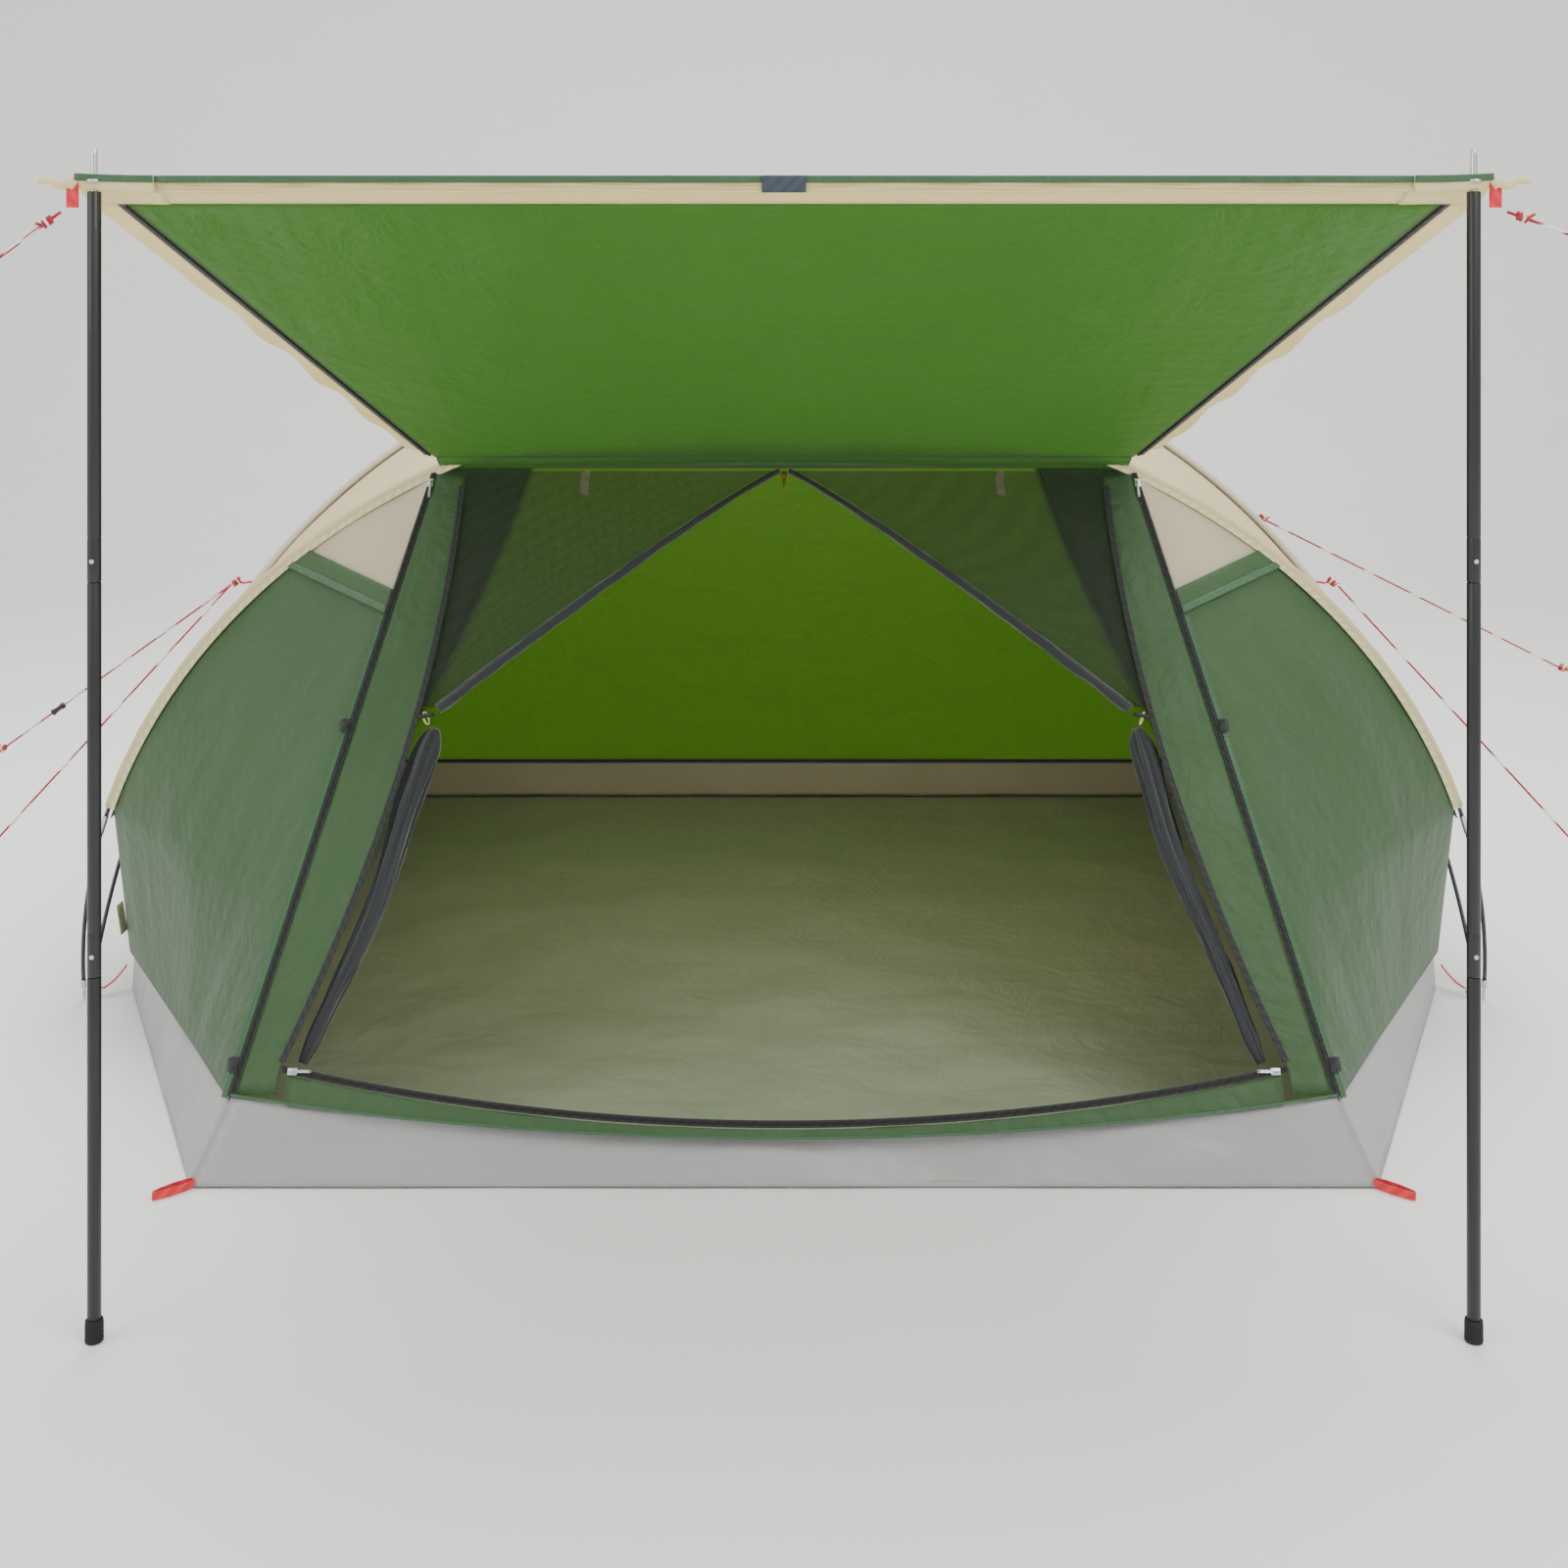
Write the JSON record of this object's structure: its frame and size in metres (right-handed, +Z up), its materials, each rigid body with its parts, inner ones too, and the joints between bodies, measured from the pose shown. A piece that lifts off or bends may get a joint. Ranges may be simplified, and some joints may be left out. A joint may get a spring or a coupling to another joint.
{
  "type": "dome tent with awning",
  "caption": "Dome camping tent with crossed hoops, grey groundsheet, mesh inner door and its outer door raised as an awning on two steel poles.",
  "frame": {"origin": "on the ground, midway between the feet of the hoops", "axes": "+Z up, -Y out of the door, +X to the right seen from the door"},
  "size_m": [4.0738, 2.9637, 1.6703],
  "materials": {
    "grey_sheeting": "woven polyethylene, waterproof",
    "green_cloth": "coated polyester, plain weave",
    "cream_cloth": "coated polyester, plain weave",
    "dark_trim": "folded binding tape",
    "vent_cloth": "fine grey mesh over cloth",
    "zip_tape": "knitted zip tape with coil",
    "insect_mesh": "fine knitted net",
    "fibreglass": "pultruded rod",
    "bright_metal": "drawn and polished",
    "black_steel": "semi-gloss powder coat",
    "black_rubber": "moulded",
    "black_plastic": "moulded",
    "red_webbing": "woven tape",
    "red_rope": "braided, pale flecks",
    "brass": "die cast"
  },
  "bodies": {
    "tent": {"groundsheet": "grey_sheeting", "tub_wall": "grey_sheeting", "front_gore_left": "green_cloth", "front_gore_right": "green_cloth", "vents": "vent_cloth", "rear_wall": "green_cloth", "rear_gore_left": "green_cloth", "rear_gore_right": "green_cloth", "side_panels": "green_cloth", "front_header": "green_cloth", "roof_strip": "cream_cloth", "strip_hems": "dark_trim", "door_border_left": "green_cloth", "door_border_right": "green_cloth", "door_sill": "green_cloth", "door_zips": "zip_tape", "mesh_door_left": "insect_mesh", "mesh_door_right": "insect_mesh", "mesh_rolls": "insect_mesh", "mesh_slider": "brass", "toggles": "black_plastic", "front_hoop": "fibreglass", "rear_hoop": "fibreglass", "front_sleeve": "cream_cloth", "rear_sleeve": "grey_sheeting", "hoop_legs": "fibreglass", "hoop_tips": "bright_metal", "foot_straps": "red_webbing", "guy_loops": "red_rope", "pegs": "bright_metal", "tensioner": "black_plastic", "guy_front_left": "red_rope", "guy_front_right": "red_rope", "guy_rear_left": "red_rope", "guy_rear_right": "red_rope"},
    "awning": {"awning_panel": "green_cloth", "awning_hem": "cream_cloth", "awning_trim": "dark_trim", "zip_bands": "zip_tape", "storm_flap_left": "cream_cloth", "storm_flap_right": "cream_cloth"},
    "pole_left": {"pole_low_left": "black_steel", "pole_mid_left": "black_steel", "pole_high_left": "black_steel", "pole_spike_left": "bright_metal", "pole_foot_left": "black_rubber", "awning_corner_left": "dark_trim", "corner_rope_left": "red_rope"},
    "pole_right": {"pole_low_right": "black_steel", "pole_mid_right": "black_steel", "pole_high_right": "black_steel", "pole_spike_right": "bright_metal", "pole_foot_right": "black_rubber", "awning_corner_right": "dark_trim", "corner_rope_right": "red_rope"},
    "door_slider_left": {"door_slider_left": "bright_metal"},
    "door_slider_right": {"door_slider_right": "bright_metal"},
    "sill_slider_left": {"sill_slider_left": "bright_metal"},
    "sill_slider_right": {"sill_slider_right": "bright_metal"}
  },
  "joints": [
    {"name": "awning_swing", "type": "hinge", "parent": "tent", "child": "awning", "pos_m": [0, -0.24274, 1.142], "axis": [1, 0, 0], "range_deg": [0, 84]},
    {"name": "pole_left_fold", "type": "hinge", "parent": "awning", "child": "pole_left", "pos_m": [-0.94, -1.27191, 1.632], "axis": [-0.085, 0.9964, 0], "range_deg": [0, 90]},
    {"name": "pole_right_fold", "type": "hinge", "parent": "awning", "child": "pole_right", "pos_m": [0.94, -1.27191, 1.632], "axis": [-0.085, -0.9964, 0], "range_deg": [0, 90]},
    {"name": "door_slider_left_slide", "type": "slide", "parent": "tent", "child": "door_slider_left", "axis": [-0.2001, -0.4657, -0.862], "range_m": [0, 1.05]},
    {"name": "sill_slider_left_slide", "type": "slide", "parent": "tent", "child": "sill_slider_left", "axis": [0.983, -0.0874, -0.1617], "range_m": [0, 0.06]},
    {"name": "door_slider_right_slide", "type": "slide", "parent": "tent", "child": "door_slider_right", "axis": [0.2001, -0.4657, -0.862], "range_m": [0, 1.05]},
    {"name": "sill_slider_right_slide", "type": "slide", "parent": "tent", "child": "sill_slider_right", "axis": [-0.983, -0.0874, -0.1617], "range_m": [0, 0.06]}
  ],
  "couplings": [
    {"joint": "pole_left_fold", "follows": "awning_swing", "ratio": 1.0714},
    {"joint": "pole_right_fold", "follows": "awning_swing", "ratio": 1.0714}
  ]
}
